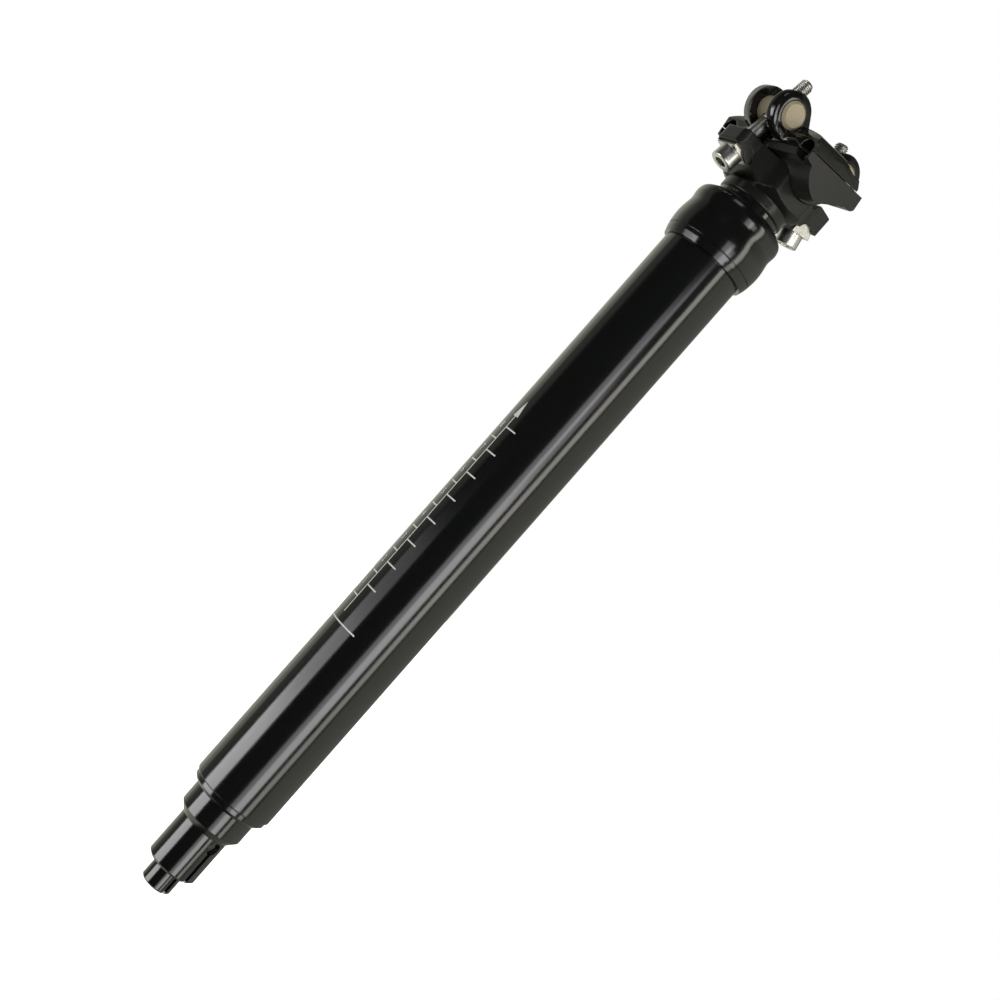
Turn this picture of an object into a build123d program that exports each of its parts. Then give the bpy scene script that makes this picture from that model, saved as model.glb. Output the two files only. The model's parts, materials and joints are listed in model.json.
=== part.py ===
from build123d import *
import math
import os

os.makedirs("parts", exist_ok=True)

# Frame: millimetres, +Z up the post, origin on the axis at the collar's underside.
# +X is the front of the bicycle, +Y its left side. The post is fully lowered.

# Main sizes
post_diameter = 30.9
post_length = 241.0
travel = 125.0
stanchion_diameter = 25.0
bumper_length = 7.0
tube_wall = 1.9
tube_edge = 0.4

# Fits
running_clearance = 0.03
slide_clearance = 0.05
swing_clearance = 0.25
stop_clearance = 0.05
overrun = 2.0

# Collar, wiper and upper bush
collar_radius = 18.0
collar_height = 21.8
collar_band_shares = ((0.922, 0.0), (0.96, 0.092), (0.968, 0.125))
collar_bulge_shares = ((0.968, 0.125), (0.992, 0.25), (1.0, 0.356), (0.983, 0.528),
                       (0.961, 0.688), (0.978, 0.8), (0.968, 0.872))
collar_lip_shares = ((0.968, 0.872), (0.94, 0.926), (0.889, 0.963), (0.817, 1.0))
collar_groove_height = 3.3
collar_groove_width = 0.35
collar_groove_depth = 0.35
thread_radius = 14.95
thread_height = 12.0
web_radius = 13.0
web_height = 13.5
wiper_outer = 14.2
wiper_top = 21.3
wiper_relief = 13.3
wiper_lip = 1.3
bush_bottom = 18.0

# Stanchion, lower bush and keys
stanchion_bore = 10.5
stanchion_top = 24.2
bush_seat_radius = 12.0
bush_seat_rise = 3.0
bush_seat_length = 14.0
key_count = 3
key_turn = 60.0
key_width = 2.9
key_rise = 5.0
key_length = 15.0
key_root = 11.5
keyway_width = 3.0
keyway_radius = 14.45

# Bottom cap and its seal
flange_radius = 14.7
flange_thickness = 2.8
flange_edge = 1.1
cap_radius = 12.25
cap_waist_length = 11.2
cap_chamfer_length = 2.6
cap_end_radius = 10.0
cap_spigot_length = 12.0
oring_section = 0.75
oring_groove = 1.0
rod_socket_floor = 1.0
spring_ceiling_drop = 1.0
spring_bore = 3.4

# Actuator housing, keyhole and cable stop
housing_radius = 9.5
housing_length = 18.0
housing_edge = 0.8
spigot_radius = 8.0
spigot_length = 6.8
keyhole_azimuth = 106.0
keyhole_drop = 2.9
keyhole_radius = 2.4
cable_slot = 1.6
cavity_back = 4.0
cavity_front = 8.2
cavity_half = 2.6
cavity_depth = 7.5
stub_radius = 5.75
stub_length = 8.0
stub_edge = 0.5
stub_thread = 4.0
stub_floor = 0.5
casing_radius = 3.05
casing_depth = 6.0
cable_hole = 1.0

# Lever, its pin, the valve pin and the spring
lever_axis_x = 1.8
lever_pin_radius = 0.9
lever_pin_inner = 6.0
lever_pin_outer = 9.0
lever_hub = 1.9
lever_half = 2.35
nose_x = 2.0
nose_rise = 1.0
nose_radius = 1.3
barrel_inner = 3.0
barrel_outer = 7.2
barrel_half_height = 2.9
barrel_radius = 2.3
valve_pin_radius = 1.3
valve_bore = 1.5
foot_radius = 2.8
foot_thickness = 1.4
spring_wire = 0.3
spring_radius = 2.2
spring_turns = 7

# Cartridge
rod_radius = 4.0
rod_top = 52.0
piston_top = 50.0
piston_bottom = 62.0
ring_section = 0.7
ring_groove = 0.9
bumper_thickness = 6.0
bumper_radius = 7.5
valve_head_radius = 2.6
valve_head_height = 1.5
cylinder_bore = 9.0
cylinder_radius = 10.0
seal_head_length = 12.0
floating_bottom = 44.0
floating_top = 34.0
plug_length = 8.0
plug_stud = 6.0
plug_stud_length = 12.0
cylinder_top = 6.0
head_spigot_bottom = 2.0

# Head, with its outlines as shares of its reach, its rise to the pivot and its width
pivot_height = 45.5
trough_radius = 11.0
head_reach = 25.4
head_half_width = 15.8
lug_half_width = 6.2
head_side_shares = ((0.409, 0.033), (0.409, 0.235), (0.807, 0.423), (1.0, 0.423), (1.0, 0.71),
                    (0.75, 0.733), (0.0, 0.733), (-0.591, 0.733), (-0.693, 0.9), (-1.0, 0.878),
                    (-1.0, 0.535), (-0.551, 0.362), (-0.409, 0.235), (-0.409, 0.033))
head_side_round = 1.2
head_plan_shares = ((0.689, 0.392), (0.413, 0.67), (0.315, 1.0))
head_plan_round = 2.2
head_wall_shares = ((0.785, 0.033), (0.785, 0.18), (1.0, 0.44), (1.0, 1.0))
ring_radius = 12.9
ring_top_share = 0.19
ring_edge = 0.7
flare_shares = ((0.587, 0.235), (0.74, 0.347), (1.1, 0.413))

# Bolts, nuts and half-moon washers
bolt_radius = 2.5
front_bolt_length = 36.0
rear_bolt_length = 34.5
bolt_head_radius = 4.25
bolt_head_height = 5.0
bolt_head_edge = 0.4
bolt_tip_edge = 0.5
socket_width = 4.0
socket_depth = 2.8
swing_inset = 5.1
washer_sink = 1.6099
washer_radius = 4.2
washer_half = 5.0
lug_slot_length = 7.4
lug_slot_width = 5.6
nut_radius = 4.8
nut_half = 10.0
nut_edge = 0.9
nut_u = 15.9
front_nut_w = 9.9
rear_nut_w = 6.5

# Rail clamp, drawn level about the pivot and then tilted nose down
rest_tilt = 9.0
clamp_half_length = 14.0
clamp_half_width = 26.0
rail_radius = 3.5
rail_spacing = 44.0
rail_rise = 0.9
part_line = 0.9
part_gap = 0.15
lip_drop = 2.0
lip_inner_drop = 3.0
tail_inner_drop = 5.5
tail_outer = 13.0
tail_outer_drop = 5.2
tail_end_drop = 4.2
crown_w = 9.6
wing_shares = ((1.0, 0.469), (0.969, 0.615), (0.831, 0.781), (0.64, 0.896), (0.462, 0.969), (0.338, 1.0))
wing_end_u = 10.6
wing_end_w = 1.9
wing_cut_u = 8.8
wing_cut_w = 4.5
wing_cut_y = 11.5
eye_radius = 8.0
eye_inner = 4.8
eye_outer = 8.8
eye_root_u = 3.0
eye_root_w = 3.0
bolt_notch_u = 12.3
bolt_notch_half = 3.2
eye_edge = 0.8
eye_gap_reach = 6.4
outer_relief_y = 17.0
outer_relief_shares = ((0.08, -0.991), (-0.691, -0.582), (-1.182, -0.473))

post_radius = post_diameter / 2
tube_bore = post_radius - tube_wall
stanchion_radius = stanchion_diameter / 2

# Heights below the collar's underside, and the head's above it
cap_top = post_length - cap_spigot_length
oring_height = post_length - cap_spigot_length / 2
rod_socket_bottom = post_length - rod_socket_floor
spring_ceiling = post_length + spring_ceiling_drop
cap_waist_bottom = post_length + cap_waist_length
cap_bottom = cap_waist_bottom + cap_chamfer_length
spigot_top = cap_bottom - spigot_length
keyhole_height = cap_bottom + keyhole_drop
cavity_bottom = keyhole_height + cavity_depth
housing_bottom = cap_bottom + housing_length
stub_thread_top = cavity_bottom + stub_floor
stub_bottom = housing_bottom + stub_length
stanchion_bottom = cap_top - bumper_length
bush_seat_low = stanchion_bottom - bush_seat_rise
bush_seat_high = bush_seat_low - bush_seat_length
key_low = bush_seat_high - key_rise
key_high = key_low - key_length
head_rise = pivot_height - stanchion_top
lug_underside = stanchion_top + head_side_shares[3][1] * head_rise
swing_x = head_reach - swing_inset
swing_z = lug_underside - washer_sink


def rod(radius, low, high):
    return Pos(0, 0, (low + high) / 2) * Cylinder(radius, high - low)


def pipe(outer, inner, low, high):
    return rod(outer, low, high) - rod(inner, low - overrun, high + overrun)


def turned(points):
    return revolve(Plane.XZ * make_face(Polyline(*points, close=True)), Axis.Z)


def ring_seal(middle, height, section):
    return Pos(0, 0, height) * Torus(middle, section)


def block(x_low, x_high, y_half, z_low, z_high):
    middle = Pos((x_low + x_high) / 2, 0, (z_low + z_high) / 2)
    return middle * Box(x_high - x_low, y_half * 2, z_high - z_low)


def across(radius, half, x, z):
    return Pos(x, 0, z) * Rot(90, 0, 0) * Cylinder(radius, half * 2)


def save(shape, name):
    shape.label = name
    export_step(shape, f"parts/{name}.step")


def keyed(shape, width, radius):
    for number in range(key_count):
        turn = Rot(0, 0, key_turn + number * 360 / key_count)
        shape = shape - turn * block(0, radius, width / 2, -post_length - overrun, thread_height + overrun)
    return shape


# Lower post: tube, collar, wiper, bush
def make_outer_tube():
    body = turned([(0, -post_length), (post_radius - tube_edge, -post_length),
                   (post_radius, -post_length + tube_edge), (post_radius, 0),
                   (thread_radius, 0), (thread_radius, thread_height), (0, thread_height)])
    body = body - rod(tube_bore, -post_length - overrun, thread_height + overrun)
    return keyed(body, keyway_width, keyway_radius)


def make_collar():
    def scaled(shares):
        return [(collar_radius * share_r, collar_height * share_z) for share_r, share_z in shares]
    band = Polyline(*scaled(collar_band_shares))
    bulge = Spline(*scaled(collar_bulge_shares))
    lip = Spline(*scaled(collar_lip_shares))
    inside = Polyline(lip @ 1, (wiper_outer, collar_height), (wiper_outer, web_height),
                      (web_radius, web_height), (web_radius, thread_height),
                      (thread_radius, thread_height), (thread_radius, 0), band @ 0)
    body = revolve(Plane.XZ * make_face(Curve() + band + bulge + lip + inside), Axis.Z)
    groove_low = collar_groove_height - collar_groove_width / 2
    groove_floor = collar_radius * collar_bulge_shares[0][0] - collar_groove_depth / 2
    groove = pipe(collar_radius + overrun, groove_floor, groove_low, groove_low + collar_groove_width)
    return body - groove


def make_wiper_seal():
    inner = stanchion_radius + running_clearance
    return turned([(inner, web_height), (wiper_outer, web_height), (wiper_outer, wiper_top),
                   (inner, wiper_top), (inner, wiper_top - wiper_lip),
                   (wiper_relief, wiper_top - wiper_lip * 2), (wiper_relief, web_height + wiper_lip * 2),
                   (inner, web_height + wiper_lip)])


def make_upper_bush():
    return pipe(tube_bore, stanchion_radius + running_clearance, -bush_bottom, thread_height)


# Bottom cap with its seal and bumper
def make_bottom_cap():
    under = -post_length - flange_thickness
    body = turned([(0, -cap_top), (tube_bore, -cap_top), (tube_bore, -post_length),
                   (flange_radius, -post_length), (flange_radius, under + flange_edge),
                   (flange_radius - flange_edge, under), (cap_radius, under),
                   (cap_radius, -cap_waist_bottom), (cap_end_radius, -cap_bottom), (0, -cap_bottom)])
    body = body - pipe(tube_bore + overrun, tube_bore - oring_section * 2,
                       -oring_height - oring_groove, -oring_height + oring_groove)
    body = body - rod(rod_radius, -rod_socket_bottom, -cap_top + overrun)
    body = body - rod(valve_bore, -spring_ceiling - overrun, -cap_top)
    body = body - rod(spring_bore, -cap_bottom, -spring_ceiling)
    return body - rod(spigot_radius, -cap_bottom - overrun, -spigot_top)


def make_cap_oring():
    return ring_seal(tube_bore - oring_section, -oring_height, oring_section)


def make_bottom_bumper():
    return pipe(stanchion_radius, stanchion_bore, -cap_top, -stanchion_bottom - stop_clearance)


# Actuator housing and cable stop, drawn with the keyhole toward +X
def cable_path(outer, low, high):
    return block(0, outer, cable_slot / 2, low, high)


def make_actuator_housing():
    body = rod(spigot_radius, -cap_bottom, -spigot_top)
    body = body + turned([(0, -cap_bottom), (housing_radius, -cap_bottom),
                          (housing_radius, -housing_bottom + housing_edge),
                          (housing_radius - housing_edge, -housing_bottom), (0, -housing_bottom)])
    body = body - block(-cavity_back, cavity_front, cavity_half, -cavity_bottom, -spigot_top + overrun)
    body = body - rod(spring_bore, -keyhole_height, -spigot_top + overrun)
    keyhole = Pos(cavity_front, 0, -keyhole_height) * Rot(0, 90, 0) * Cylinder(keyhole_radius, cavity_front)
    body = body - keyhole - cable_path(housing_radius + overrun, -housing_bottom - overrun, -keyhole_height)
    body = body - rod(stub_thread, -housing_bottom - overrun, -stub_thread_top)
    return body - lever_pin_shape(housing_radius + overrun)


def make_cable_stop():
    body = rod(stub_thread, -housing_bottom, -stub_thread_top)
    body = body + turned([(0, -housing_bottom), (stub_radius, -housing_bottom),
                          (stub_radius, -stub_bottom + stub_edge), (stub_radius - stub_edge, -stub_bottom),
                          (0, -stub_bottom)])
    body = body - rod(casing_radius, -stub_bottom - overrun, -stub_bottom + casing_depth)
    body = body - rod(cable_hole, -stub_bottom, -stub_thread_top + overrun)
    return body - cable_path(stub_radius + overrun, -stub_bottom - overrun, -stub_thread_top + overrun)


def lever_pin_shape(outer):
    middle = Pos(lever_axis_x, (outer - lever_pin_inner) / 2, -keyhole_height)
    return middle * Rot(90, 0, 0) * Cylinder(lever_pin_radius, outer + lever_pin_inner)


def make_actuator_lever():
    nose = Pos(-nose_x, nose_rise) * Circle(nose_radius)
    hub = Pos(lever_axis_x, 0) * Circle(lever_hub)
    barrel_block = Pos((barrel_inner + barrel_outer) / 2, 0) * Rectangle(
        barrel_outer - barrel_inner, barrel_half_height * 2)
    arm = make_hull((nose + hub).edges()) + barrel_block
    body = extrude(Plane.XZ * arm, amount=lever_half, both=True)
    body = Pos(0, 0, -keyhole_height) * body
    body = body - across(lever_pin_radius + slide_clearance, lever_half + overrun, lever_axis_x,
                         -keyhole_height)
    seat_start = lever_axis_x + lever_hub
    seat = Pos((seat_start + barrel_outer + overrun) / 2, 0, -keyhole_height) * Rot(0, 90, 0) * Cylinder(
        barrel_radius, barrel_outer + overrun - seat_start)
    below = block(seat_start, barrel_outer + overrun, cable_slot / 2,
                  -keyhole_height - barrel_half_height - overrun, -keyhole_height)
    return body - seat - below


foot_low = -keyhole_height + nose_rise + nose_radius + running_clearance
foot_high = foot_low + foot_thickness


def make_valve_pin():
    body = rod(foot_radius, foot_low, foot_high)
    body = body + rod(valve_pin_radius, foot_high, -piston_top)
    return body + rod(valve_head_radius, -piston_top, -piston_top + valve_head_height)


def make_valve_spring():
    low = foot_high + spring_wire
    high = -spring_ceiling - spring_wire
    coil = Helix((high - low) / spring_turns, high - low, spring_radius, center=(0, 0, low))
    section = Plane(coil @ 0, z_dir=coil % 0) * Circle(spring_wire)
    return sweep(section, path=coil)


# Cartridge pieces
def make_cartridge_rod():
    return pipe(rod_radius, valve_bore, -rod_socket_bottom, -rod_top)


def grooved_piston(low, high, radius):
    middle = (low + high) / 2
    groove_floor = cylinder_bore - ring_section * 2
    groove = pipe(radius + overrun, groove_floor, middle - ring_groove, middle + ring_groove)
    return rod(radius, low, high) - groove


def make_main_piston():
    body = grooved_piston(-piston_bottom, -piston_top, cylinder_bore - slide_clearance)
    body = body - rod(rod_radius, -piston_bottom - overrun, -rod_top)
    return body - rod(valve_bore, -piston_bottom, -piston_top + overrun)


def make_piston_ring():
    return ring_seal(cylinder_bore - ring_section, -(piston_bottom + piston_top) / 2,
                     ring_section - running_clearance)


def make_top_bumper():
    return pipe(bumper_radius, rod_radius, -piston_bottom - bumper_thickness, -piston_bottom)


seal_top = -piston_bottom - bumper_thickness - travel - stop_clearance
seal_bottom = seal_top - seal_head_length


def make_seal_head():
    body = pipe(cylinder_bore, rod_radius + running_clearance, seal_bottom, seal_top)
    middle = (seal_bottom + seal_top) / 2
    return body - pipe(rod_radius + running_clearance + ring_section * 2, rod_radius,
                       middle - ring_groove, middle + ring_groove)


def make_rod_seal():
    middle = (seal_bottom + seal_top) / 2
    return ring_seal(rod_radius + running_clearance + ring_section, middle, ring_section)


def make_cartridge_cylinder():
    return pipe(cylinder_radius, cylinder_bore, seal_bottom, -cylinder_top)


def make_floating_piston():
    return grooved_piston(-floating_bottom, -floating_top, cylinder_bore - slide_clearance)


def make_floating_ring():
    return ring_seal(cylinder_bore - ring_section, -(floating_bottom + floating_top) / 2,
                     ring_section - running_clearance)


def make_cartridge_plug():
    body = rod(cylinder_bore, -cylinder_top - plug_length, -cylinder_top)
    body = body + rod(cylinder_radius, -cylinder_top, -head_spigot_bottom)
    return body + rod(plug_stud, -head_spigot_bottom, -head_spigot_bottom + plug_stud_length)


# Stanchion with its bush and keys
def make_stanchion():
    body = pipe(stanchion_radius, stanchion_bore, -stanchion_bottom, stanchion_top)
    body = body - pipe(stanchion_radius + overrun, bush_seat_radius, -bush_seat_low, -bush_seat_high)
    return body - make_brass_keys()


def make_lower_bush():
    return pipe(tube_bore - slide_clearance, bush_seat_radius, -bush_seat_low, -bush_seat_high)


def make_brass_keys():
    keys = []
    for number in range(key_count):
        turn = Rot(0, 0, key_turn + number * 360 / key_count)
        key = block(key_root, keyway_radius - slide_clearance, key_width / 2, -key_low, -key_high)
        keys.append(turn * key)
    return Compound(children=keys)


# Head
def rounded(points, radius):
    face = make_face(Polyline(*points, close=True))
    return fillet(face.vertices(), radius)


def head_height(share):
    return stanchion_top + share * head_rise


def make_head():
    side = rounded([(head_reach * share_x, head_height(share_z)) for share_x, share_z in head_side_shares],
                   head_side_round)
    side_body = extrude(Plane.XZ * side, amount=head_half_width + overrun, both=True)
    front = [(head_reach * share_x, head_half_width * share_y) for share_x, share_y in head_plan_shares]
    quarter = [(head_reach, lug_half_width)] + front
    half = quarter + [(-x, y) for x, y in reversed(quarter)]
    plan = rounded(half + [(x, -y) for x, y in reversed(half)], head_plan_round)
    plan_body = Pos(0, 0, stanchion_top) * extrude(plan, amount=head_rise)
    wall = [(head_half_width * share_y, head_height(share_z)) for share_y, share_z in head_wall_shares]
    wall_face = rounded(wall + [(-y, z) for y, z in reversed(wall)], head_side_round)
    wall_body = extrude(Plane.YZ * wall_face, amount=head_reach + overrun, both=True)
    ring_top = head_height(ring_top_share)
    flare = Spline((ring_radius, ring_top), *[(head_reach * share_r, head_height(share_z))
                                              for share_r, share_z in flare_shares])
    neck_line = flare + Polyline(flare @ 1, ((flare @ 1).X, pivot_height), (0, pivot_height),
                                 (0, stanchion_top), (ring_radius, stanchion_top), flare @ 0)
    neck_body = revolve(Plane.XZ * make_face(neck_line), Axis.Z)
    body = side_body & plan_body & wall_body & neck_body
    body = body + turned([(0, stanchion_top), (ring_radius - ring_edge, stanchion_top),
                          (ring_radius, stanchion_top + ring_edge), (ring_radius, ring_top), (0, ring_top)])
    body = body - across(trough_radius + slide_clearance, head_half_width + overrun, 0, pivot_height)
    for toward in (1, -1):
        swing = Pos(toward * swing_x, 0, swing_z)
        groove = swing * Rot(90, 0, 0) * Cylinder(washer_radius + slide_clearance, head_reach)
        slot = extrude(SlotOverall(lug_slot_length, lug_slot_width), amount=bolt_length(toward))
        body = body - groove - swing * Rot(0, bolt_lean(toward), 0) * slot
    spigot = rod(stanchion_bore, -head_spigot_bottom, stanchion_top)
    stud_hole = rod(plug_stud, -head_spigot_bottom - overrun, -head_spigot_bottom + plug_stud_length)
    return body + spigot - stud_hole


# Rail clamp, level
def in_clamp(shape):
    return Pos(0, 0, pivot_height) * Rot(0, rest_tilt, 0) * shape


def rail_grooves():
    grooves = []
    for beside in (1, -1):
        groove = Pos(0, beside * rail_spacing / 2, rail_rise) * Rot(0, 90, 0) * Cylinder(
            rail_radius, clamp_half_length * 2 + overrun)
        grooves.append(groove)
    return grooves


def bolt_notches():
    outer = clamp_half_length + overrun
    return [block(bolt_notch_u, outer, bolt_notch_half, -trough_radius, crown_w + overrun),
            block(-outer, -bolt_notch_u, bolt_notch_half, -trough_radius, crown_w + overrun)]


def make_lower_cradle():
    face_w = part_line - part_gap
    arc_front = (math.sqrt(trough_radius ** 2 - lip_inner_drop ** 2), -lip_inner_drop)
    arc_rear = (-math.sqrt(trough_radius ** 2 - tail_inner_drop ** 2), -tail_inner_drop)
    lip = Polyline(arc_rear, (-tail_outer, -tail_outer_drop), (-clamp_half_length, -tail_end_drop),
                   (-clamp_half_length, face_w), (clamp_half_length, face_w),
                   (clamp_half_length, -lip_drop), arc_front)
    bowl = ThreePointArc(arc_front, (0, -trough_radius), arc_rear)
    body = extrude(Plane.XZ * make_face(Curve() + lip + bowl), amount=clamp_half_width, both=True)
    relief = [(trough_radius * share_u, trough_radius * share_w) for share_u, share_w in outer_relief_shares]
    below = make_face(Polyline(*relief, (relief[-1][0], -trough_radius - overrun),
                               (relief[0][0], -trough_radius - overrun), close=True))
    depth = clamp_half_width - outer_relief_y
    for beside in (1, -1):
        middle = beside * (clamp_half_width + outer_relief_y + overrun) / 2
        body = body - Pos(0, middle, 0) * extrude(Plane.XZ * below, amount=(depth + overrun) / 2, both=True)
    for tool in rail_grooves() + bolt_notches():
        body = body - tool
    return in_clamp(body)


def nut_w(toward):
    return front_nut_w if toward > 0 else rear_nut_w


def on_side(toward, near, far):
    return (near, far) if toward > 0 else (-far, -near)


def make_upper_clamp():
    face_w = part_line + part_gap
    wing = Spline(*[(clamp_half_width * share_y, crown_w * share_w) for share_y, share_w in wing_shares])
    under = Polyline(wing @ 1, (0, crown_w), (0, face_w), (clamp_half_width, face_w), wing @ 0)
    half = extrude(Plane.YZ * make_face(Curve() + wing + under), amount=clamp_half_length, both=True)
    body = half + mirror(half, Plane.XZ)
    eye_end = nut_u + eye_radius + overrun
    for toward in (1, -1):
        eye = Pos(toward * nut_u, nut_w(toward)) * Circle(eye_radius)
        root = Pos(toward * eye_root_u, eye_root_w) * Circle(part_line)
        foot = Pos(toward * (clamp_half_length - part_line), face_w + part_line) * Circle(part_line)
        plate = extrude(Plane.XZ * make_hull((eye + root + foot).edges()), amount=eye_outer, both=True)
        rims = plate.edges().filter_by_position(Axis.Y, eye_outer, eye_outer)
        rims = rims + plate.edges().filter_by_position(Axis.Y, -eye_outer, -eye_outer)
        body = body + chamfer(rims, eye_edge)
    for toward in (1, -1):
        body = body - across(nut_radius + slide_clearance, eye_outer + overrun, toward * nut_u,
                             nut_w(toward))
        low, high = on_side(toward, nut_u - eye_gap_reach, eye_end)
        body = body - block(low, high, eye_inner, crown_w, front_nut_w + eye_radius + overrun)
        low, high = on_side(toward, clamp_half_length, eye_end)
        body = body - block(low, high, eye_inner, -trough_radius, front_nut_w + eye_radius + overrun)
        low, high = on_side(toward, 0, clamp_half_length + part_gap)
        body = body - block(low, high, eye_outer + overrun, -trough_radius, face_w)
    for tool in rail_grooves() + bolt_notches():
        body = body - tool
    outer = clamp_half_length + overrun
    tail = make_face(Polyline((-outer, 0), (-wing_end_u, 0), (-wing_end_u, wing_end_w),
                              (-wing_cut_u, wing_cut_w), (-wing_cut_u, crown_w + overrun),
                              (-outer, crown_w + overrun), close=True))
    tail = extrude(Plane.XZ * tail, amount=clamp_half_width + overrun, both=True)
    body = body - (tail - block(-outer, 0, wing_cut_y, 0, crown_w + overrun))
    return in_clamp(body)


# Bolts, washers and nuts, each drawn upright at its swing point
def bolt_lean(toward):
    tilt = math.radians(rest_tilt)
    nut_x = toward * nut_u * math.cos(tilt) + nut_w(toward) * math.sin(tilt)
    nut_z = -toward * nut_u * math.sin(tilt) + nut_w(toward) * math.cos(tilt)
    return math.degrees(math.atan2(nut_x - toward * swing_x, nut_z + pivot_height - swing_z))


def bolt_length(toward):
    return front_bolt_length if toward > 0 else rear_bolt_length


def in_bolt(shape, toward):
    return Pos(toward * swing_x, 0, swing_z) * Rot(0, bolt_lean(toward), 0) * shape


def make_bolt(toward):
    body = turned([(0, -bolt_head_height), (bolt_head_radius - bolt_head_edge, -bolt_head_height),
                   (bolt_head_radius, -bolt_head_height + bolt_head_edge), (bolt_head_radius, 0),
                   (bolt_radius, 0), (bolt_radius, bolt_length(toward) - bolt_tip_edge),
                   (bolt_radius - bolt_tip_edge, bolt_length(toward)), (0, bolt_length(toward))])
    hexagon = RegularPolygon(socket_width / 2, 6, major_radius=False)
    body = body - Pos(0, 0, -bolt_head_height) * extrude(hexagon, amount=socket_depth)
    return in_bolt(body, toward)


def make_washer(toward):
    body = across(washer_radius, washer_half, 0, 0)
    body = body - block(-washer_radius - overrun, washer_radius + overrun, washer_half + overrun,
                        -washer_radius - overrun, 0)
    return in_bolt(body - rod(bolt_radius + slide_clearance, -overrun, washer_radius + overrun), toward)


def make_nut(toward):
    body = Rot(90, 0, 0) * turned([(0, -nut_half), (nut_radius - nut_edge, -nut_half),
                                   (nut_radius, -nut_half + nut_edge), (nut_radius, nut_half - nut_edge),
                                   (nut_radius - nut_edge, nut_half), (0, nut_half)])
    placed = in_clamp(Pos(toward * nut_u, 0, nut_w(toward)) * body)
    return placed - in_bolt(rod(bolt_radius + swing_clearance, 0, bolt_length(toward) + overrun), toward)


def in_actuator(shape):
    return Rot(0, 0, keyhole_azimuth) * shape


save(make_outer_tube(), "outer_tube")
save(make_collar(), "collar")
save(make_wiper_seal(), "wiper_seal")
save(make_upper_bush(), "upper_bush")
save(make_bottom_cap(), "bottom_cap")
save(make_cap_oring(), "cap_oring")
save(make_bottom_bumper(), "bottom_bumper")
save(in_actuator(make_actuator_housing()), "actuator_housing")
save(in_actuator(make_cable_stop()), "cable_stop")
save(in_actuator(lever_pin_shape(lever_pin_outer)), "lever_pin")
save(in_actuator(make_actuator_lever()), "actuator_lever")
save(make_valve_pin(), "valve_pin")
save(make_valve_spring(), "valve_spring")
save(make_cartridge_rod(), "cartridge_rod")
save(make_main_piston(), "main_piston")
save(make_piston_ring(), "piston_ring")
save(make_top_bumper(), "top_bumper")
save(make_seal_head(), "seal_head")
save(make_rod_seal(), "rod_seal")
save(make_cartridge_cylinder(), "cartridge_cylinder")
save(make_floating_piston(), "floating_piston")
save(make_floating_ring(), "floating_ring")
save(make_cartridge_plug(), "cartridge_plug")
save(make_stanchion(), "stanchion")
save(make_lower_bush(), "lower_bush")
save(make_brass_keys(), "brass_keys")
save(make_head(), "head")
save(make_lower_cradle(), "lower_cradle")
save(make_upper_clamp(), "upper_clamp")
for side_name, side_sign in (("front", 1), ("rear", -1)):
    save(make_bolt(side_sign), f"{side_name}_bolt")
    save(make_washer(side_sign), f"{side_name}_washer")
    save(make_nut(side_sign), f"{side_name}_barrel_nut")
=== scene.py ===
# %% [markdown]
# # A dropper seatpost, from its solid parts to its finish
# The solid parts come in as the frame, each where it belongs. This notebook adds what solids leave
# out: rolled threads, the printed height scale, and the real material and finish of each piece.

# %% Load the solid parts
import json
import math
import bpy
import numpy as np
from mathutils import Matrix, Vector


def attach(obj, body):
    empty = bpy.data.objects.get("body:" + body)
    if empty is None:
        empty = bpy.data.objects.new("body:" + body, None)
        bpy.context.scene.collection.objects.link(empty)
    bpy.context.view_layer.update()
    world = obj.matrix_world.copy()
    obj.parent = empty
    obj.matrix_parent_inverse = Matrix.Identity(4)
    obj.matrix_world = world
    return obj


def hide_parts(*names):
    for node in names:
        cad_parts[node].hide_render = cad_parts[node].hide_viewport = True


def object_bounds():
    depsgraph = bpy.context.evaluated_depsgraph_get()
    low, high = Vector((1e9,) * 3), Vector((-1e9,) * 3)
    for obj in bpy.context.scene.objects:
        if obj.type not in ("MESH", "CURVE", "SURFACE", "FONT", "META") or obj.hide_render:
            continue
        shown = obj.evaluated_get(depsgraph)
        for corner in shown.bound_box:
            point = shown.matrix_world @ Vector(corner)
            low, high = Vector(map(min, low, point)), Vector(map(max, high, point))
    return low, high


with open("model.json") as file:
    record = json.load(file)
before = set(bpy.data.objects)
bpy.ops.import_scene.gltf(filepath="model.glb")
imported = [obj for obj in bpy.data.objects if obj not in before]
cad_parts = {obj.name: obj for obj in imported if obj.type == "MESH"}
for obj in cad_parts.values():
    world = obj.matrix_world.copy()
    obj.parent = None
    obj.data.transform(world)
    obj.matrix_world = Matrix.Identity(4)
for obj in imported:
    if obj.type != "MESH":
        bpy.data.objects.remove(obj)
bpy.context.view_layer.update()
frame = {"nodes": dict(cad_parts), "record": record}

MM = 0.001  # sizes are written in millimetres, and the scene is in metres
NODES = frame["nodes"]
print("solid parts:", len(NODES))

# %% [markdown]
# ## Colours and shader nodes
# A colour is written as it looks on a screen, but light mixes in linear values. Each colour could be
# converted by hand, and one function does it without slips. Shader nodes could be made line by line
# too. One small helper makes a node with its links, constants and settings in one call, so that a
# finish reads as a list.


# %% Helpers for colours and shader nodes
SCREEN_KNEE, SCREEN_SLOPE = 0.04045, 12.92
SCREEN_OFFSET, SCREEN_SCALE, SCREEN_POWER = 0.055, 1.055, 2.4


def linear(colour):
    """A screen value c becomes c / 12.92 when dark, and else (c + 0.055) / 1.055 to the power of 2.4."""
    values = []
    for first in (1, 3, 5):
        value = int(colour[first:first + 2], 16) / 255
        if value <= SCREEN_KNEE:
            values.append(value / SCREEN_SLOPE)
        else:
            values.append(((value + SCREEN_OFFSET) / SCREEN_SCALE) ** SCREEN_POWER)
    return values + [1.0]


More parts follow.
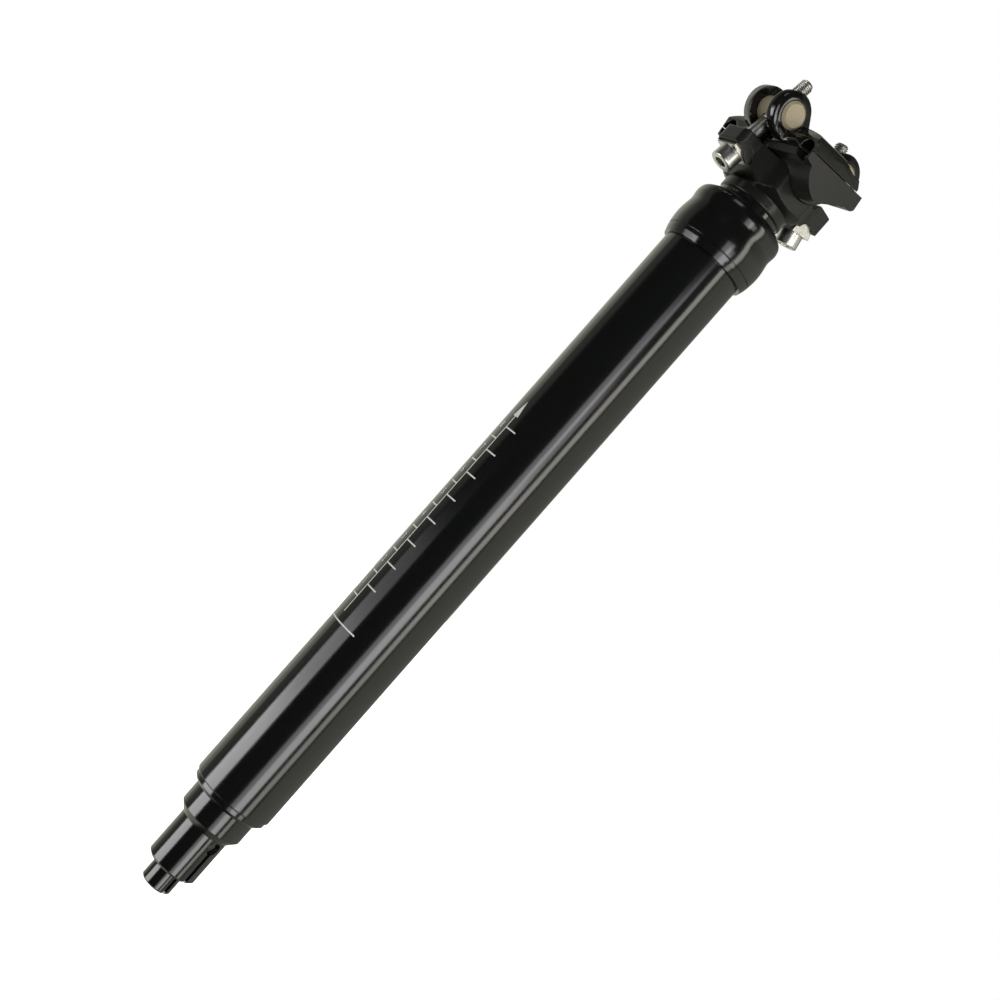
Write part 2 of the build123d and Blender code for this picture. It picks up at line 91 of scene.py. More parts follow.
def add(tree, kind, links=None, values=None, **settings):
    """Make one shader node. Settings are its options, values its constants, and links its inputs."""
    node = tree.nodes.new(kind)
    for key, value in settings.items():
        setattr(node, key, value)
    for key, value in (values or {}).items():
        node.inputs[key].default_value = value
    for key, socket in (links or {}).items():
        tree.links.new(socket, node.inputs[key])
    return node


print("mid grey #808080 is", round(linear("#808080")[0], 3), "in linear light")

# %% [markdown]
# ## Grain and tint
# No real finish is perfectly even, as blasting, dyeing, spraying and moulding each leave a fine
# pattern. A picture of the finish could be laid over each piece, but it would stretch and repeat.
# Noise in the piece's own coordinates does neither, and the size of its pattern is given in real
# millimetres.

# %% Helpers for a finish
NOISE_LOW, NOISE_HIGH = 0.3, 0.7  # nearly all of the noise lies between these values
NOISE_DETAIL = 3.0
EDGE_SAMPLES = 6
EVEN = (1, 1, 1)
PLAIN_SPECULAR = 0.5


def new_material(name, base, metallic, roughness):
    """A material with one colour and one roughness, which the noise may then vary."""
    made = bpy.data.materials.new(name)
    made.use_nodes = True
    made.diffuse_color = linear(base)
    shader = made.node_tree.nodes["Principled BSDF"]
    shader.inputs["Base Color"].default_value = linear(base)
    shader.inputs["Metallic"].default_value = metallic
    shader.inputs["Roughness"].default_value = roughness
    return made, made.node_tree, shader


def grain(tree, shader, size_mm, rough, bump_mm, stretch=EVEN, edge_mm=0):
    """Noise moves the roughness between its two ends and lifts the surface by bump_mm. Edges shade as if
    rounded by edge_mm, as a coat of paint or a forging's radius leaves them."""
    place = add(tree, "ShaderNodeTexCoord")
    scaled = add(tree, "ShaderNodeVectorMath", {0: place.outputs["Object"]},
                 {1: [share / (size_mm * MM) for share in stretch]}, operation="MULTIPLY")
    noise = add(tree, "ShaderNodeTexNoise", {"Vector": scaled.outputs[0]},
                {"Scale": 1.0, "Detail": NOISE_DETAIL})
    spread = add(tree, "ShaderNodeMapRange", {"Value": noise.outputs["Fac"]},
                 {"From Min": NOISE_LOW, "From Max": NOISE_HIGH, "To Min": rough[0], "To Max": rough[1]})
    tree.links.new(spread.outputs["Result"], shader.inputs["Roughness"])
    if bump_mm:
        bump = add(tree, "ShaderNodeBump", {"Height": noise.outputs["Fac"]},
                   {"Strength": 1.0, "Distance": bump_mm * MM})
        if edge_mm:
            edge = add(tree, "ShaderNodeBevel", values={"Radius": edge_mm * MM}, samples=EDGE_SAMPLES)
            tree.links.new(edge.outputs["Normal"], bump.inputs["Normal"])
        tree.links.new(bump.outputs["Normal"], shader.inputs["Normal"])
    return noise


def tint(tree, shader, noise, dark, light):
    """The same noise mixes two close colours."""
    ramp = add(tree, "ShaderNodeValToRGB", {"Fac": noise.outputs["Fac"]})
    ends = ramp.color_ramp.elements
    ends[0].position, ends[1].position = NOISE_LOW, NOISE_HIGH
    ends[0].color, ends[1].color = linear(dark), linear(light)
    tree.links.new(ramp.outputs["Color"], shader.inputs["Base Color"])


print("roughness and colour follow the noise from", NOISE_LOW, "to", NOISE_HIGH)

# %% [markdown]
# ## The finishes
# Each material is the real one: a dyed oxide film on polished aluminium, a shot-blasted forging,
# sprayed gloss enamel, steel with a thin zinc film, moulded rubber. The black pieces could all share
# one material, but the eye tells them apart by their gloss, so each finish has its own colours,
# roughness and grain.

# %% Make the materials
MATERIALS = {}


def finish(slot, name, dark, light, metallic, size_mm, rough, bump_mm, stretch=EVEN, edge_mm=0,
           specular=PLAIN_SPECULAR):
    """A material whose roughness, height and colour all follow one noise."""
    made, tree, shader = new_material(name, dark, metallic, sum(rough) / 2)
    shader.inputs["Specular IOR Level"].default_value = specular
    tint(tree, shader, grain(tree, shader, size_mm, rough, bump_mm, stretch, edge_mm), dark, light)
    MATERIALS[slot] = made


finish("black_anodised", "black_anodised_polished_aluminium", "#080a09", "#0b0d0c", metallic=0.0,
       size_mm=0.25, rough=(0.13, 0.17), bump_mm=0.0002, stretch=(1, 1, 0.02), edge_mm=0.25)
finish("black_forged", "black_shot_blasted_forging", "#10100f", "#181816", metallic=0.0,
       size_mm=0.35, rough=(0.27, 0.36), bump_mm=0.002, edge_mm=0.7, specular=0.3)
finish("black_satin", "black_satin_anodised_machined", "#161615", "#1d1d1b", metallic=0.0,
       size_mm=0.3, rough=(0.3, 0.4), bump_mm=0.001, stretch=(1, 0.3, 1), edge_mm=0.4, specular=0.3)
finish("black_painted", "black_gloss_enamel", "#0b0c0b", "#10110f", metallic=0.0,
       size_mm=2.5, rough=(0.08, 0.13), bump_mm=0.006, edge_mm=0.6)
finish("steel", "zinc_plated_steel", "#bebdb9", "#c9c8c4", metallic=1.0,
       size_mm=1.2, rough=(0.3, 0.36), bump_mm=0)
finish("raw_aluminium", "turned_bare_aluminium", "#c9c9c8", "#d8d8d8", metallic=1.0,
       size_mm=0.2, rough=(0.25, 0.35), bump_mm=0.001, stretch=(1, 1, 6))
finish("brass", "milled_brass", "#b58f45", "#c79f52", metallic=1.0,
       size_mm=0.3, rough=(0.25, 0.35), bump_mm=0.001, stretch=(1, 1, 0.3))
finish("nut_brass", "champagne_anodised_aluminium", "#857c66", "#9c927b", metallic=0.3,
       size_mm=0.22, rough=(0.4, 0.5), bump_mm=0.001)
finish("rubber", "moulded_black_rubber", "#161616", "#1c1c1b", metallic=0.0,
       size_mm=0.5, rough=(0.62, 0.75), bump_mm=0.004)
finish("bush_plastic", "moulded_bearing_plastic", "#cfccc0", "#d8d5ca", metallic=0.0,
       size_mm=0.6, rough=(0.4, 0.5), bump_mm=0.002)

# The ink is one even colour, and only its roughness varies
MATERIALS["ink"], ink_tree, ink_shader = new_material("pad_printed_white_ink", "#c9c7c2",
                                                         metallic=0.0, roughness=0.45)
grain(ink_tree, ink_shader, size_mm=0.4, rough=(0.4, 0.55), bump_mm=0.001)

SLOT_OF = {entry["node"]: entry["material_slot"] for entry in frame["record"]["subparts"]}
for node_name, node in NODES.items():
    node.data.materials.clear()
    node.data.materials.append(MATERIALS[SLOT_OF[node_name]])
print("materials:", len(MATERIALS))

# %% [markdown]
# ## Surfaces from a grid of points
# A thread, a thin wall or a printed line is a surface that a formula in two parameters describes. It
# could be modelled by hand, but then each change of size means new handwork. Here a formula fills a
# grid of points, and each small square of four neighbours becomes a face.


# %% Helpers for surfaces
def into_scene(name, data):
    """Make an object that shows this data, at the origin and unturned."""
    piece = bpy.data.objects.new(name, data)
    bpy.context.scene.collection.objects.link(piece)
    return piece


def surface_from_grid(name, points, closed_columns=False):
    """points[i, j] is the point for parameters i and j. Closed columns join the last to the first."""
    rows, columns = points.shape[:2]
    index = np.arange(rows * columns).reshape(rows, columns)
    if closed_columns:
        index = np.hstack([index, index[:, :1]])
    corners = [index[:-1, :-1], index[:-1, 1:], index[1:, 1:], index[1:, :-1]]
    quads = np.stack(corners, axis=-1).reshape(-1, len(corners))
    mesh = bpy.data.meshes.new(name)
    mesh.vertices.add(rows * columns)
    mesh.vertices.foreach_set("co", points.reshape(-1).astype(np.float32))
    mesh.loops.add(quads.size)
    mesh.loops.foreach_set("vertex_index", quads.reshape(-1).astype(np.int32))
    mesh.polygons.add(len(quads))
    mesh.polygons.foreach_set("loop_start", np.arange(0, quads.size, len(corners), dtype=np.int32))
    mesh.polygons.foreach_set("use_smooth", np.ones(len(quads), dtype=bool))
    mesh.update(calc_edges=True)
    mesh.validate()
    return into_scene(name, mesh)


def shade_by_angle(piece, degrees):
    """Faces that meet at less than this angle shade as one curve, and sharper edges stay crisp."""
    piece.data.set_sharp_from_angle(angle=math.radians(degrees))


print("made into_scene, surface_from_grid and shade_by_angle")

# %% [markdown]
# ## The form of a bolt
# A bolt's thread is rolled between dies: the shank stays smooth, and the crests stand as high as the
# shank. A bump pattern could show it, but the outline would stay smooth. So the whole bolt is one
# surface. Its path runs from the floor of the hexagon socket out round the head and up the shank to
# the tip, and the radius at each step depends on the angle too, in the socket and in the thread.

# %% Shape a bolt
BOLT_LENGTH = {1: 36.0, -1: 34.5}  # front and rear
BOLT_RADIUS, PITCH, THREAD_DEPTH, THREAD_LENGTH = 2.5, 0.8, 0.45, 20.0
HEAD_RADIUS, HEAD_HEIGHT, SOCKET_HALF, SOCKET_DEPTH = 4.25, 5.0, 2.0, 2.8
SIDES, ROWS_PER_PITCH = 72, 14
PLAIN_END, RUN_IN, THREAD_END = 0.8, 0.1, 0.7

# Share of the hexagon, and mm from the socket's floor
FLOOR_STEPS = ((0, 0.6), (0.6, 0.15), (0.98, 0), (1, 0), (1, -0.05))
# Share of the hexagon, mm beyond that, and mm from the head's lower end
MOUTH_STEPS = ((1, 0, 0.3), (1.01, 0, 0.12), (1, 0.18, 0.02))
MOUTH_RIM, MOUTH_RADIUS = 0.2, 2.6
# Radius, and mm from the head's lower end
EDGE_STEPS = ((3.7, 0), (3.85, 0.01), (4.1, 0.12), (4.22, 0.3), (HEAD_RADIUS, 0.5))
# Radius, and mm from the face that the washer seats on
SEAT_STEPS = ((HEAD_RADIUS, -0.2), (HEAD_RADIUS, -0.06), (4.2, 0), (4.1, 0), (2.7, 0), (2.52, 0.06),
              (BOLT_RADIUS, 0.2))
# Radius, and mm down from the tip's end
TIP_STEPS = ((2.05, 0.45), (1.9, 0.1), (1.7, 0), (0, 0))


def bolt_points(length):
    """In the socket the radius is the hexagon's half-width divided by the cosine of the angle to the
    flat's middle. In the thread it is the crest's, less the depth times (1 - cos(wave)) / 2, where the
    wave is one turn for each pitch of height, less the angle."""
    angle = np.linspace(0, 2 * np.pi, SIDES, endpoint=False)
    hexagon = SOCKET_HALF / np.cos((angle + np.pi / 6) % (np.pi / 3) - np.pi / 6)
    one = np.ones(SIDES)
    low, floor = -HEAD_HEIGHT, -HEAD_HEIGHT + SOCKET_DEPTH
    thread_start = length - THREAD_LENGTH
    rings = [(hexagon * share, floor + rise) for share, rise in FLOOR_STEPS]
    rings += [(hexagon * share + more, low + rise) for share, more, rise in MOUTH_STEPS]
    rings += [(np.maximum(hexagon + MOUTH_RIM, MOUTH_RADIUS), low)]
    rings += [(radius * one, low + rise) for radius, rise in EDGE_STEPS]
    rings += [(radius * one, rise) for radius, rise in SEAT_STEPS]
    rings += [(BOLT_RADIUS * one, thread_start - PLAIN_END)]
    for height in np.arange(thread_start, length - THREAD_END, PITCH / ROWS_PER_PITCH):
        wave = (1 - np.cos(2 * np.pi * height / PITCH - angle)) / 2
        grow = min(1.0, (height - thread_start + RUN_IN) / PITCH)
        rings.append((BOLT_RADIUS - THREAD_DEPTH * grow * wave, height))
    rings += [(radius * one, length - drop) for radius, drop in TIP_STEPS]
    radius = np.array([ring for ring, _ in rings])
    height = np.array([level for _, level in rings])[:, None] * one
    return np.stack([radius * np.cos(angle), radius * np.sin(angle), height], axis=-1)


print("front bolt, rings and points in each:", bolt_points(BOLT_LENGTH[1]).shape[:2])

# %% [markdown]
# ## Where the bolts stand
# Each bolt hangs in a lug by its domed washer and runs up through a barrel nut, so it leans from the
# washer's middle to the nut's middle. Its place could be read off the solid that it replaces. It is
# worked out from the same sizes instead, so that the reader sees where it comes from.

# %% Place the two bolts
SWING_X, SWING_Z = 20.3, 31.6
REST_TILT, PIVOT_Z = math.radians(9.0), 45.5
NUT_U, NUT_W = 15.9, {1: 9.9, -1: 6.5}
THREAD_ANGLE = 72  # degrees, so that a thread's rows shade as one curve


def clamp_place(u, w):
    """The clamp is tilted by t about its pivot, so a place u along it and w above it is at
    x = u cos t + w sin t and z = the pivot's height - u sin t + w cos t."""
    x = u * math.cos(REST_TILT) + w * math.sin(REST_TILT)
    z = PIVOT_Z - u * math.sin(REST_TILT) + w * math.cos(REST_TILT)
    return x, z


def bolt_place(points, toward):
    """Each point is turned about Y by the lean, to x cos + z sin and z cos - x sin, then moved to the
    point that the washer swings about."""
    nut_x, nut_z = clamp_place(toward * NUT_U, NUT_W[toward])
    lean = math.atan2(nut_x - toward * SWING_X, nut_z - SWING_Z)
    x, y, z = points[..., 0], points[..., 1], points[..., 2]
    turned = np.stack([x * math.cos(lean) + z * math.sin(lean), y,
                       z * math.cos(lean) - x * math.sin(lean)], axis=-1)
    return (turned + np.array([toward * SWING_X, 0, SWING_Z])) * MM


for side, toward in (("front", 1), ("rear", -1)):
    points = bolt_place(bolt_points(BOLT_LENGTH[toward]), toward)
    bolt = surface_from_grid(f"{side}_bolt_threaded", points, closed_columns=True)
    shade_by_angle(bolt, THREAD_ANGLE)
    bolt.data.materials.append(MATERIALS["steel"])
    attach(bolt, f"{side}_screw")
    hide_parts(f"{side}_bolt")
    print(bolt.name, "faces:", len(bolt.data.polygons))

# %% [markdown]
# ## The walls that close the front washer's pocket
# On the real forging the front pocket is blind: a thin wall on each side of the lug hides the
# washer's ends. The head could be cut and joined anew, but its form is right apart from this. So each
# wall is a strip of its own, which runs out under the lug and up its side and ends at the pocket's
# round roof.

# %% Close the front pocket
POCKET_RADIUS, POCKET_HALF, LUG_HALF = 4.25, 5.3, 6.21
LUG_LINE_X, LUG_LINE_Z = (15.0, 19.3, 21.0, 26.0), (30.65, 31.8, 33.2, 33.2)
WALL_COLUMNS = 48
CREASE_ANGLE = 30  # degrees


def pocket_wall(name, beside):
    """x runs along the lug. The strip goes out at the height of the lug's line, then up to the roof,
    which is the swing point's height plus the square root of (radius squared - distance squared)."""
    along = np.linspace(SWING_X - POCKET_RADIUS, SWING_X + POCKET_RADIUS, WALL_COLUMNS)
    low = np.interp(along, LUG_LINE_X, LUG_LINE_Z)
    roof = SWING_Z + np.sqrt(np.maximum(POCKET_RADIUS ** 2 - (along - SWING_X) ** 2, 0))
    roof = np.maximum(roof, low)
    across = beside * np.array([POCKET_HALF, LUG_HALF, LUG_HALF])
    heights = np.stack([low, low, roof])
    points = np.stack([along + 0 * heights, across[:, None] + 0 * heights, heights], axis=-1)
    wall = surface_from_grid(name, points * MM)
    shade_by_angle(wall, CREASE_ANGLE)
    wall.data.materials.append(MATERIALS["black_forged"])
    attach(wall, "upper_post")
    return wall


for side, beside in (("left", 1), ("right", -1)):
    print(pocket_wall(f"front_pocket_wall_{side}", beside).name)

# %% [markdown]
# ## The crest line of the wings
# On the real upper clamp the wings, outside the eyes, fall toward both ends, so that both nuts stand
# clear of them. The wings could be modelled anew, with their rail grooves. A cut is less work and
# keeps the grooves: the solid loses what lies in a prism whose underside is the crest line.

# %% Shape the prism that cuts a wing
WING_INNER, WING_OUTER = 8.83, 28.0
# The underside from the rear end to the front end, then the top, as (u, w) in the clamp
CREST = ((-16, 4.2), (-6, 4.2), (-3.4, 4.9), (-1.2, 6.3), (2, 8.2), (5, 9.3), (8, 9.62), (10, 9.62),
         (14, 5.0), (16, 5.0), (16, 14), (-16, 14))


def crest_cutter(name, beside):
    """The crest line is drawn at the wing's inner face and once more beyond its outer face, and faces
    join the two."""
    x, z = clamp_place(*np.array(CREST, float).T)
    ends = [np.stack([x, 0 * x + beside * y, z], axis=-1) * MM for y in (WING_INNER, WING_OUTER)]
    count = len(CREST)
    near, far = list(range(count)), list(range(count, 2 * count))
    sides = [(near[i], near[i - 1], far[i - 1], far[i]) for i in range(count)]
    mesh = bpy.data.meshes.new(name)
    mesh.from_pydata(np.vstack(ends).tolist(), [], [near, far[::-1]] + sides)
    if beside < 0:
        mesh.flip_normals()
    return into_scene(name, mesh)


print("corners of the crest line:", len(CREST))

# %% [markdown]
# ## The cut clamp
# The clamp's solid itself must stay as it is, so a copy of it is cut. Two cutting modifiers do the
# work, and the mesh that they leave is kept as the visible piece. The copy and the two prisms are
# then thrown away.

# %% Cut the wings
clamp = into_scene("upper_clamp_cut", NODES["upper_clamp"].data.copy())
cutters = [crest_cutter(f"crest_cutter_{side}", beside) for side, beside in (("left", 1), ("right", -1))]
for cutter in cutters:
    cut = clamp.modifiers.new(cutter.name, "BOOLEAN")
    cut.operation, cut.solver, cut.object = "DIFFERENCE", "EXACT", cutter
graph = bpy.context.evaluated_depsgraph_get()
cut_mesh = bpy.data.meshes.new_from_object(clamp.evaluated_get(graph))
for spare in [clamp] + cutters:
    bpy.data.objects.remove(spare)
wings = into_scene("upper_clamp_cut", cut_mesh)
cut_mesh.materials.clear()
cut_mesh.materials.append(MATERIALS["black_painted"])
cut_mesh.shade_smooth()
shade_by_angle(wings, CREASE_ANGLE)
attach(wings, "rail_clamp")
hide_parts("upper_clamp")
low, high = np.array(wings.bound_box).min(axis=0), np.array(wings.bound_box).max(axis=0)
print("clamp faces:", len(cut_mesh.polygons), "size mm:", (high - low) / MM)

# %% [markdown]
# ## The printed height scale
# The rider reads the scale against the seat tube. It is pad printed: a film of white ink a few
# hundredths of a millimetre thick. It could be painted into the tube's material, but a shape of its
# own keeps its edges sharp from near by. Each flat shape is bent round the tube: distance across
# becomes an angle, and distance along stays height.

# %% Helpers for the print
TUBE_RADIUS, INK = 15.45, 0.03
PRINT_COLUMNS = 24
PRINTED = []


def wrap(across, height, lift=INK):
    """A flat point (across, height) goes to the angle across / radius on the tube, at that height."""
    turn = across / TUBE_RADIUS
    radius = TUBE_RADIUS + lift
    return np.stack([radius * np.cos(turn), radius * np.sin(turn), height], axis=-1) * MM


def strip(name, low, high, left, right, rows=2):
    """A patch between two edges: left(t) and right(t) are distances across at share t of its height."""
    share = np.linspace(0, 1, rows)
    mix = np.linspace(0, 1, PRINT_COLUMNS)
    across = left(share)[:, None] * (1 - mix) + right(share)[:, None] * mix
    height = (low + (high - low) * share)[:, None] + 0 * mix
    return surface_from_grid(name, wrap(across, height))


def bar(name, low, high, left, right):
    """A patch whose edges are straight, at the same across distance all the way."""
    return strip(name, low, high, lambda share: left + 0 * share, lambda share: right + 0 * share)


def print_on_tube(piece):
    """The ink belongs to the tube, so it moves with the lower post."""
    piece.data.materials.append(MATERIALS["ink"])
    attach(piece, "lower_post")
    PRINTED.append(piece.name)


print("ink stands", INK, "mm over a tube of radius", TUBE_RADIUS, "mm")

# %% [markdown]
# ## Line, ticks and arrow
# One line runs up the tube, with a tick each centimetre on one side and a shorter one between on the
# other. An arrow at the top shows the way up, and a longer bar closes the scale below. They could be
# drawn as curves with a width. Patches are as quick, and each edge stands where its number says.

# %% Print the line, ticks and arrow
LINE_LOW, LINE_HIGH, LINE_HALF = -168.6, -80.9, 0.22
BASE_LOW, BASE_HIGH, BASE_LEFT, BASE_RIGHT = -172.45, -171.95, -6.1, 10.5
FIRST_TICK, TICK_STEP, TICKS = -156.8, 10.0, 8
TICK_HALF, TICK_RIGHT = 0.25, 5.5
BETWEEN_LOW, BETWEEN_HIGH, BETWEEN_LEFT = 5.35, 4.85, -4.5
ARROW_TIP, ARROW_BACK, ARROW_HALF, ARROW_ROWS = -75.5, 1.2, 1.5, 24

print_on_tube(bar("scale_line", LINE_LOW, LINE_HIGH, -LINE_HALF, LINE_HALF))
print_on_tube(bar("scale_base", BASE_LOW, BASE_HIGH, BASE_LEFT, BASE_RIGHT))
for count in range(TICKS):
    level = FIRST_TICK + count * TICK_STEP
    print_on_tube(bar(f"scale_tick_{count + 1}", level - TICK_HALF, level + TICK_HALF, 0.0, TICK_RIGHT))
    print_on_tube(bar(f"scale_half_{count + 1}", level - BETWEEN_LOW, level - BETWEEN_HIGH,
                      BETWEEN_LEFT, 0.0))
print_on_tube(strip("scale_arrow", LINE_HIGH - ARROW_BACK, ARROW_TIP,
                    lambda share: -ARROW_HALF * (1 - share), lambda share: ARROW_HALF * (1 - share),
                    ARROW_ROWS))
print("printed so far:", len(PRINTED))

# %% [markdown]
# ## The digits
# A digit stands beside each tick. Its outline could be drawn point by point. A text object has good
# outlines already, so it is filled, turned into a mesh and bent round the tube like the rest.

# %% Print the digits
DIGIT_HEIGHT, DIGIT_MIDDLE = 2.6, -3.2
DIGIT_LIFT = 0.09  # a digit's larger flat faces would dip into the round tube at the line's height
CAPITAL_SHARE = 0.7  # a digit's height as a share of the text's size
OUTLINE_STEPS = 4

for count in range(TICKS):
    text = bpy.data.curves.new(f"digit_{count + 1}_outline", "FONT")
    text.body = str(count + 1)
    text.align_x = "CENTER"
    text.align_y = "CENTER"
    text.size = DIGIT_HEIGHT / CAPITAL_SHARE
    text.resolution_u = OUTLINE_STEPS
    flat = into_scene(f"digit_{count + 1}_flat", text)
    mesh = bpy.data.meshes.new_from_object(flat)
    mesh.name = f"scale_digit_{count + 1}"
    bpy.data.objects.remove(flat)
    spots = np.zeros(len(mesh.vertices) * 3, np.float32)
    mesh.vertices.foreach_get("co", spots)
    spots = spots.reshape(-1, 3)
    level = FIRST_TICK + count * TICK_STEP
    bent = wrap(spots[:, 0] + DIGIT_MIDDLE, spots[:, 1] + level, DIGIT_LIFT)
    mesh.vertices.foreach_set("co", bent.reshape(-1).astype(np.float32))
    mesh.materials.clear()
    print_on_tube(into_scene(f"scale_digit_{count + 1}", mesh))
print("scale pieces:", len(PRINTED))

# %% [markdown]
# ## The camera
# The camera stands level with the tube, half a metre to the front left of the post, and is rolled so
# that the post runs from lower left to upper right. It could be set by eye. Its numbers come from a
# fit to the tube's edges and the scale's ticks instead, so that sizes can be compared.

# %% Place the camera
LENS, SENSOR = 51.81, 36.0
CAMERA_AT = (0.274808, 0.405684, -0.115188)
CAMERA_TURN = (91.36742, -41.33761, 144.76243)
NEAREST = 0.01

camera_data = bpy.data.cameras.new("camera")
camera_data.sensor_width = SENSOR
camera_data.lens = LENS
camera_data.clip_start = NEAREST
camera = into_scene("camera", camera_data)
camera.location = CAMERA_AT
camera.rotation_euler = [math.radians(angle) for angle in CAMERA_TURN]
bpy.context.scene.camera = camera
print("camera m from the axis:", round(math.hypot(*CAMERA_AT[:2]), 3))

# %% [markdown]
# ## The lamps
# A polished tube shows each lamp as a bright stripe along its whole length, so the lamps decide its
# look. One large lamp would be simpler, but its stripe would have one brightness. Long soft lamps
# stand upright beside the camera in steps of brightness, each at the angle where its stripe should
# lie.

# %% Light the studio
CAMERA_AZIMUTH = 55.9
LAMP_DISTANCE = 1.1
WHITE, WARM = "#ffffff", "#fffaf0"
UPRIGHT = 90
TOP_AZIMUTH, TOP_DISTANCE, TOP_HEIGHT = CAMERA_AZIMUTH - 30, 1.0, 1.1
TOP_SIZE, TOP_RADIANCE, TOP_TILT = 0.5, 2.0, 45

# Name, first and last angle beside the camera, lowest and highest point in metres, radiance, colour
LAMPS = (("right_front_softbox_edge", 13, 24, -0.9, 0.2, 2.8, WHITE),
         ("right_front_softbox", 24, 31, -0.9, 0.1, 7.0, WHITE),
         ("right_front_softbox_top", 24, 31, 0.1, 0.24, 3.4, WHITE),
         ("right_front_softbox_side", 31, 41, -0.9, -0.06, 7.0, WHITE),
         ("right_front_softbox_side_top", 31, 41, -0.06, 0.08, 2.6, WHITE),
         ("right_strip", 50.6, 62.5, -0.9, -0.3, 4.4, WARM),
         ("right_strip_top", 50.6, 62.5, -0.3, 0.7, 5.6, WARM),
         ("left_softbox", -84, -46, -1.2, -0.4, 8.0, WHITE),
         ("left_softbox_edge", -84, -46, -0.4, -0.285, 3.6, WHITE),
         ("left_softbox_top", -84, -46, -0.285, -0.17, 1.3, WHITE))


def lamp(name, azimuth, distance, height, width, tall, radiance, colour=WHITE, tilt=UPRIGHT):
    """A soft lamp on a circle round the post, facing its axis. Power is radiance times pi times area."""
    data = bpy.data.lights.new(name, "AREA")
    data.shape = "RECTANGLE"
    data.size, data.size_y = width, tall
    data.energy = radiance * math.pi * width * tall
    data.color = linear(colour)[:3]
    turn = math.radians(azimuth)
    piece = into_scene(name, data)
    piece.location = (distance * math.cos(turn), distance * math.sin(turn), height)
    piece.rotation_euler = (math.radians(tilt), 0, turn + math.radians(90))


for name, start, end, low, high, radiance, colour in LAMPS:
    width = 2 * LAMP_DISTANCE * math.tan(math.radians((end - start) / 2))
    lamp(name, CAMERA_AZIMUTH + (start + end) / 2, LAMP_DISTANCE, (low + high) / 2, width, high - low,
         radiance, colour)
lamp("top_softbox", TOP_AZIMUTH, TOP_DISTANCE, TOP_HEIGHT, TOP_SIZE, TOP_SIZE, TOP_RADIANCE,
     tilt=TOP_TILT)
print("lamps:", len(LAMPS) + 1)

# %% [markdown]
# ## The room that the polish mirrors
# Between the lamps, black gloss shows the room. A picture of a studio could stand round the post, but
# this one is worked out: its brightness follows the angle beside the camera, pale behind the post and
# dim in front, and it fades toward the ceiling. The camera itself sees plain white, and dull surfaces
# get an even light.

# %% Work out the room
# The angle beside the camera, and how bright the room looks there
ROOM = ((-180, 1.0), (-163, 0.8), (-135, 1.15), (-112, 0.5), (-104, 0.36), (-92, 0.36), (-84, 0.035),
        (66, 0.035), (72, 0.95), (100, 0.8), (132, 0.44), (156, 0.25), (172, 0.6), (180, 1.0))
ROOM_TINT = "#f5f8e8"
DIFFUSE_LEVEL = 0.8
FADE_START, FADE_END, CEILING_SHARE = 0.3, 0.7, 0.2
MIX_COLOUR_A, MIX_COLOUR_B, MIX_COLOUR_OUT = 6, 7, 2  # a mix node's sockets when it mixes colours

world = bpy.data.worlds.new("studio")
bpy.context.scene.world = world
world.use_nodes = True
sky = world.node_tree
sky.nodes.clear()
path = add(sky, "ShaderNodeLightPath")
where = add(sky, "ShaderNodeTexCoord")
facing = math.radians(CAMERA_AZIMUTH)
along = add(sky, "ShaderNodeVectorMath", {0: where.outputs["Generated"]},
            {1: (math.cos(facing), math.sin(facing), 0)}, operation="DOT_PRODUCT")
beside = add(sky, "ShaderNodeVectorMath", {0: where.outputs["Generated"]},
             {1: (-math.sin(facing), math.cos(facing), 0)}, operation="DOT_PRODUCT")
turn = add(sky, "ShaderNodeMath", {0: beside.outputs["Value"], 1: along.outputs["Value"]},
           operation="ARCTAN2")
share = add(sky, "ShaderNodeMapRange", {"Value": turn.outputs[0]},
            {"From Min": -math.pi, "From Max": math.pi, "To Min": 0.0, "To Max": 1.0})
backdrop = add(sky, "ShaderNodeValToRGB", {"Fac": share.outputs["Result"]})
stops = backdrop.color_ramp.elements
stops[0].position, stops[1].position = 0.0, 1.0
for angle, _ in ROOM[1:-1]:
    stops.new((angle + 180) / 360)
for stop, (_, white) in zip(stops, ROOM):
    stop.color = (white, white, white, 1.0)
print("steps round the room:", len(stops))

# %% [markdown]
# ## What each kind of ray sees
# The same world can answer each ray in its own way. A ray that was mirrored or went through glass
# sees the room, a dull surface's ray sees an even level, and the camera's ray sees white. Three mix
# nodes choose.

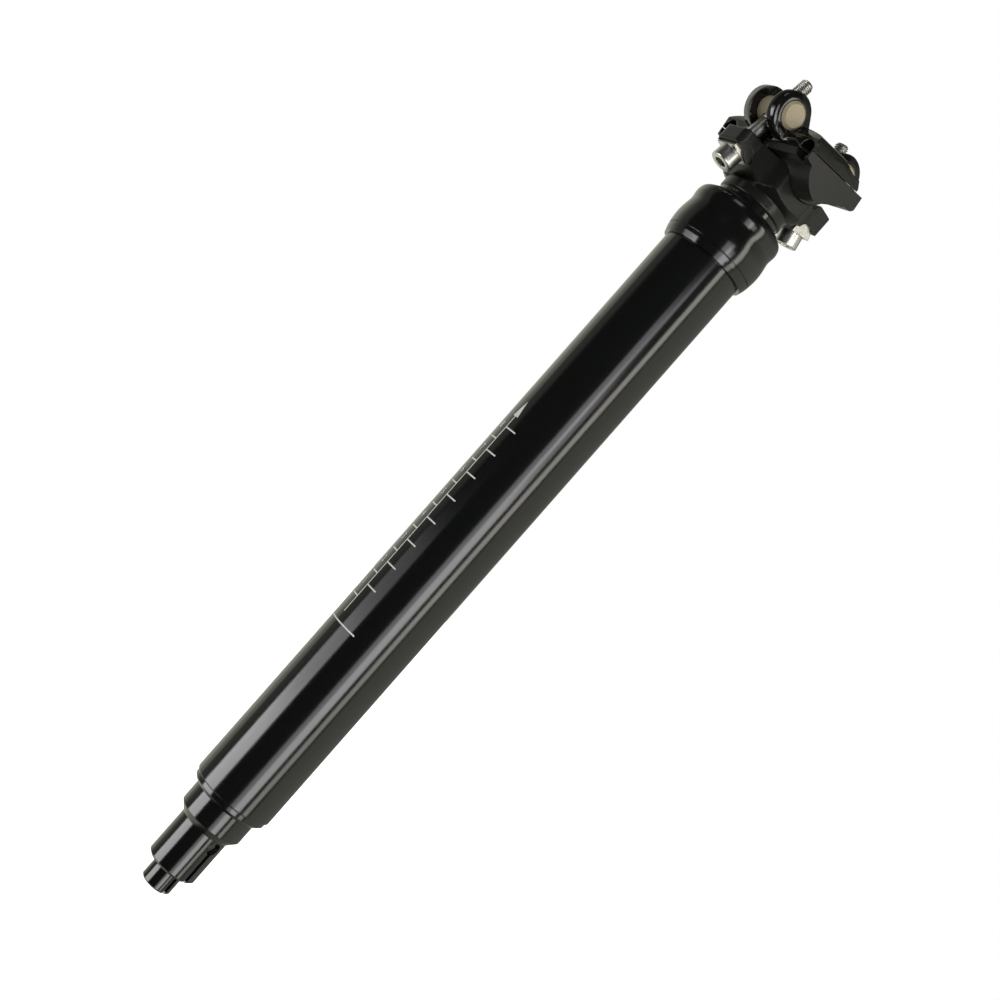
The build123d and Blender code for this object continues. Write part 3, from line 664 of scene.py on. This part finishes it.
# %% Choose by the kind of ray
seen = add(sky, "ShaderNodeMath",
           {0: path.outputs["Is Glossy Ray"], 1: path.outputs["Is Transmission Ray"]},
           operation="MAXIMUM")
steep = add(sky, "ShaderNodeSeparateXYZ", {0: where.outputs["Generated"]})
ceiling = add(sky, "ShaderNodeMapRange", {"Value": steep.outputs["Z"]},
              {"From Min": FADE_START, "From Max": FADE_END, "To Min": 1.0, "To Max": CEILING_SHARE})
shown = add(sky, "ShaderNodeMath", {0: backdrop.outputs["Color"], 1: ceiling.outputs["Result"]},
            operation="MULTIPLY")
level = add(sky, "ShaderNodeMix", {"Factor": seen.outputs[0], "B": shown.outputs[0]},
            {"A": DIFFUSE_LEVEL})
strength = add(sky, "ShaderNodeMix", {"Factor": path.outputs["Is Camera Ray"], "A": level.outputs[0]},
               {"B": 1.0})
tone = add(sky, "ShaderNodeMix", {0: seen.outputs[0]},
           {MIX_COLOUR_A: linear(WHITE), MIX_COLOUR_B: linear(ROOM_TINT)}, data_type="RGBA")
background = add(sky, "ShaderNodeBackground",
                 {"Strength": strength.outputs[0], "Color": tone.outputs[MIX_COLOUR_OUT]})
add(sky, "ShaderNodeOutputWorld", {"Surface": background.outputs[0]})
bpy.context.scene.view_settings.view_transform = "Standard"
print("nodes in the world:", len(sky.nodes))

# %% [markdown]
# ## The floor
# A pale floor lies under the post's lowest point. It could be a plain grey sheet, but then its edge
# would show against the white. It shines white to the camera alone, and from below it is clear, so
# that the post can be looked at from there too.

# %% Lay the floor
FLOOR_SIZE = 3.0
FLOOR_CORNERS = [[[-1, -1, 0], [1, -1, 0]], [[-1, 1, 0], [1, 1, 0]]]

low_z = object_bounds()[0][2]
square = np.array(FLOOR_CORNERS, float) * FLOOR_SIZE / 2
floor = surface_from_grid("floor", square + np.array([0, 0, low_z]))
pale, floor_tree, floor_shader = new_material("pale_floor", "#ededeb", metallic=0.0, roughness=0.8)
floor_path = add(floor_tree, "ShaderNodeLightPath")
floor_tree.links.new(floor_path.outputs["Is Camera Ray"], floor_shader.inputs["Emission Strength"])
floor_shader.inputs["Emission Color"].default_value = linear(WHITE)
side_seen = add(floor_tree, "ShaderNodeNewGeometry")
clear = add(floor_tree, "ShaderNodeBsdfTransparent")
one_sided = add(floor_tree, "ShaderNodeMixShader",
                {0: side_seen.outputs["Backfacing"], 1: floor_shader.outputs["BSDF"],
                 2: clear.outputs["BSDF"]})
floor_tree.links.new(one_sided.outputs[0], floor_tree.nodes["Material Output"].inputs["Surface"])
floor.data.materials.append(pale)
floor.visible_glossy = False
print("floor at mm:", round(low_z / MM, 2))
